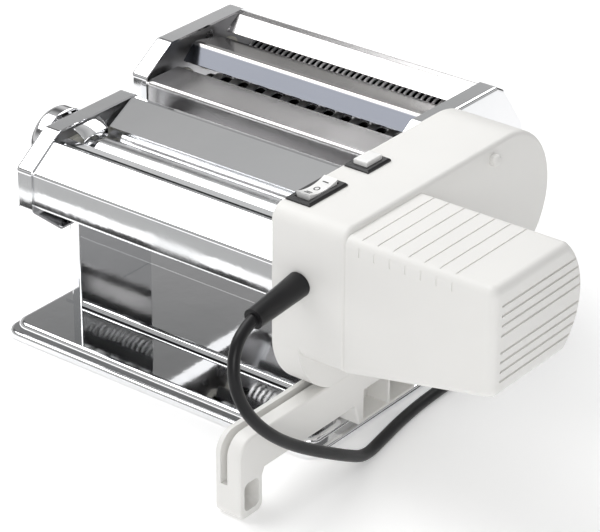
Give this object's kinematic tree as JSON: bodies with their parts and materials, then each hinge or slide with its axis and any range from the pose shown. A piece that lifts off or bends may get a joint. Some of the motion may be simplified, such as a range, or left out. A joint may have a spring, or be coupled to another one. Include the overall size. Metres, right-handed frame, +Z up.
{
  "type": "motorised pasta roller machine",
  "caption": "Countertop pasta machine: mirror steel roller head on a stand, cutter unit behind, side motor drive with switches, mains lead.",
  "frame": {"origin": "centre of the bounding box (without the mains lead) at the bottom, on the table", "axes": "+X along the rollers towards the motor, +Y from front to back, +Z up"},
  "size_m": [0.3696, 0.4144, 0.1711],
  "materials": {
    "mirror_steel": "mirror polished pressed steel",
    "satin_steel": "satin",
    "dark_mirror_steel": "mirror polished",
    "plate_steel": "zinc plated",
    "roller_steel": "ground",
    "gear_steel": "hobbed, oiled",
    "white_plastic": "warm off-white, fine spark texture",
    "white_switch": "glossy white",
    "black_plastic": "moulded",
    "nylon": "natural nylon",
    "motor_steel": "plated can",
    "black_rubber": "flexible, slight sheen"
  },
  "bodies": {
    "frame": {"base_plate": "mirror_steel", "rubber_feet": "black_rubber", "bottom_tray": "mirror_steel", "left_upright": "mirror_steel", "right_upright": "mirror_steel", "stand_screws": "plate_steel", "left_end_cap": "mirror_steel", "right_end_cap": "mirror_steel", "left_side_plate": "plate_steel", "right_side_plate": "plate_steel", "front_panel": "mirror_steel", "front_guide": "mirror_steel", "hopper_plate": "mirror_steel", "hopper_cheeks": "mirror_steel", "tie_rods": "plate_steel", "roller_bushes": "nylon", "roller_scrapers": "black_plastic", "index_plate": "plate_steel", "cutter_left_cap": "mirror_steel", "cutter_right_cap": "mirror_steel", "cutter_side_plates": "plate_steel", "cutter_bushes": "nylon", "cutter_front_guide": "satin_steel", "cutter_ridge": "dark_mirror_steel", "cutter_rear_guide": "satin_steel", "cutter_combs": "black_plastic", "cutter_hooks": "plate_steel", "gear_case_inner": "white_plastic", "gear_case_outer": "white_plastic", "motor_housing": "white_plastic", "motor_can": "motor_steel", "case_screws": "plate_steel", "support_bracket": "white_plastic", "switch_bezels": "black_plastic", "strain_relief": "black_rubber", "power_cord": "black_rubber", "cord_tail": "black_rubber", "cord_coil": "black_rubber", "power_plug": "black_rubber"},
    "rear_roller_body": {"rear_roller": "roller_steel", "rear_roller_gear": "gear_steel", "roller_spindle": "nylon"},
    "carrier_body": {"roller_carriers": "nylon"},
    "front_roller_body": {"front_roller": "roller_steel", "front_roller_gear": "gear_steel"},
    "setting_shaft": {"eccentric_shaft": "roller_steel"},
    "knob_body": {"thickness_knob": "mirror_steel"},
    "wide_front_body": {"wide_cutter_front": "roller_steel", "cutter_spindle": "nylon"},
    "wide_rear_body": {"wide_cutter_rear": "roller_steel"},
    "idler_body": {"cutter_idler": "gear_steel"},
    "narrow_front_body": {"narrow_cutter_front": "roller_steel"},
    "narrow_rear_body": {"narrow_cutter_rear": "roller_steel"},
    "reduction_body": {"reduction_gear": "nylon"},
    "rotor_body": {"motor_rotor": "gear_steel", "motor_fan": "nylon"},
    "rocker_body": {"rocker": "white_switch"},
    "push_button_body": {"push_button": "white_switch"},
    "release_button_body": {"release_button": "white_plastic"}
  },
  "joints": [
    {"name": "rear_roller_turn", "type": "hinge", "parent": "frame", "child": "rear_roller_body", "pos_m": [-0.06625, -0.00425, 0.1141], "axis": [1, 0, 0], "continuous": true},
    {"name": "nip_opening", "type": "slide", "parent": "frame", "child": "carrier_body", "axis": [0, -1, 0], "range_m": [0, 0.0022]},
    {"name": "front_roller_turn", "type": "hinge", "parent": "carrier_body", "child": "front_roller_body", "pos_m": [-0.06625, -0.02975, 0.1141], "axis": [1, 0, 0], "continuous": true},
    {"name": "thickness_turn", "type": "hinge", "parent": "frame", "child": "setting_shaft", "pos_m": [-0.06625, -0.03035, 0.1141], "axis": [1, 0, 0], "range_deg": [0, 315]},
    {"name": "knob_pull", "type": "slide", "parent": "setting_shaft", "child": "knob_body", "axis": [-1, 0, 0], "range_m": [0, 0.003], "stiffness_N_per_m": 600, "springref_m": -0.002},
    {"name": "wide_front_turn", "type": "hinge", "parent": "frame", "child": "wide_front_body", "pos_m": [-0.06625, 0.04675, 0.126], "axis": [1, 0, 0], "continuous": true},
    {"name": "wide_rear_turn", "type": "hinge", "parent": "frame", "child": "wide_rear_body", "pos_m": [-0.06625, 0.06675, 0.126], "axis": [1, 0, 0], "continuous": true},
    {"name": "idler_turn", "type": "hinge", "parent": "frame", "child": "idler_body", "pos_m": [-0.06625, 0.08227, 0.11579], "axis": [1, 0, 0], "continuous": true},
    {"name": "narrow_front_turn", "type": "hinge", "parent": "frame", "child": "narrow_front_body", "pos_m": [-0.06625, 0.08925, 0.133], "axis": [1, 0, 0], "continuous": true},
    {"name": "narrow_rear_turn", "type": "hinge", "parent": "frame", "child": "narrow_rear_body", "pos_m": [-0.06625, 0.10925, 0.133], "axis": [1, 0, 0], "continuous": true},
    {"name": "reduction_turn", "type": "hinge", "parent": "frame", "child": "reduction_body", "pos_m": [0.06375, -0.02995, 0.13541], "axis": [1, 0, 0], "continuous": true},
    {"name": "motor_turn", "type": "hinge", "parent": "frame", "child": "rotor_body", "pos_m": [0.11375, -0.05875, 0.127], "axis": [1, 0, 0], "continuous": true},
    {"name": "rocker_tilt", "type": "hinge", "parent": "frame", "child": "rocker_body", "pos_m": [0.04975, -0.0715, 0.1655], "axis": [1, 0, 0], "range_deg": [-10, 10], "stiffness_Nm_per_rad": 0.02},
    {"name": "push_button_press", "type": "slide", "parent": "frame", "child": "push_button_body", "axis": [0, 0, -1], "range_m": [0, 0.0025], "stiffness_N_per_m": 300, "springref_m": -0.001},
    {"name": "release_button_press", "type": "slide", "parent": "frame", "child": "release_button_body", "axis": [-1, 0, 0], "range_m": [0, 0.003], "stiffness_N_per_m": 300, "springref_m": -0.001}
  ],
  "couplings": [
    {"joint": "front_roller_turn", "follows": "rear_roller_turn", "ratio": -1},
    {"joint": "wide_front_turn", "follows": "rear_roller_turn", "ratio": -1},
    {"joint": "wide_rear_turn", "follows": "rear_roller_turn", "ratio": 1},
    {"joint": "idler_turn", "follows": "rear_roller_turn", "ratio": -1.1667},
    {"joint": "narrow_front_turn", "follows": "rear_roller_turn", "ratio": 1},
    {"joint": "narrow_rear_turn", "follows": "rear_roller_turn", "ratio": -1},
    {"joint": "reduction_turn", "follows": "rear_roller_turn", "ratio": -3.6364},
    {"joint": "motor_turn", "follows": "rear_roller_turn", "ratio": 14.545},
    {"joint": "thickness_turn", "follows": "nip_opening", "rad_per_m": 2498}
  ]
}
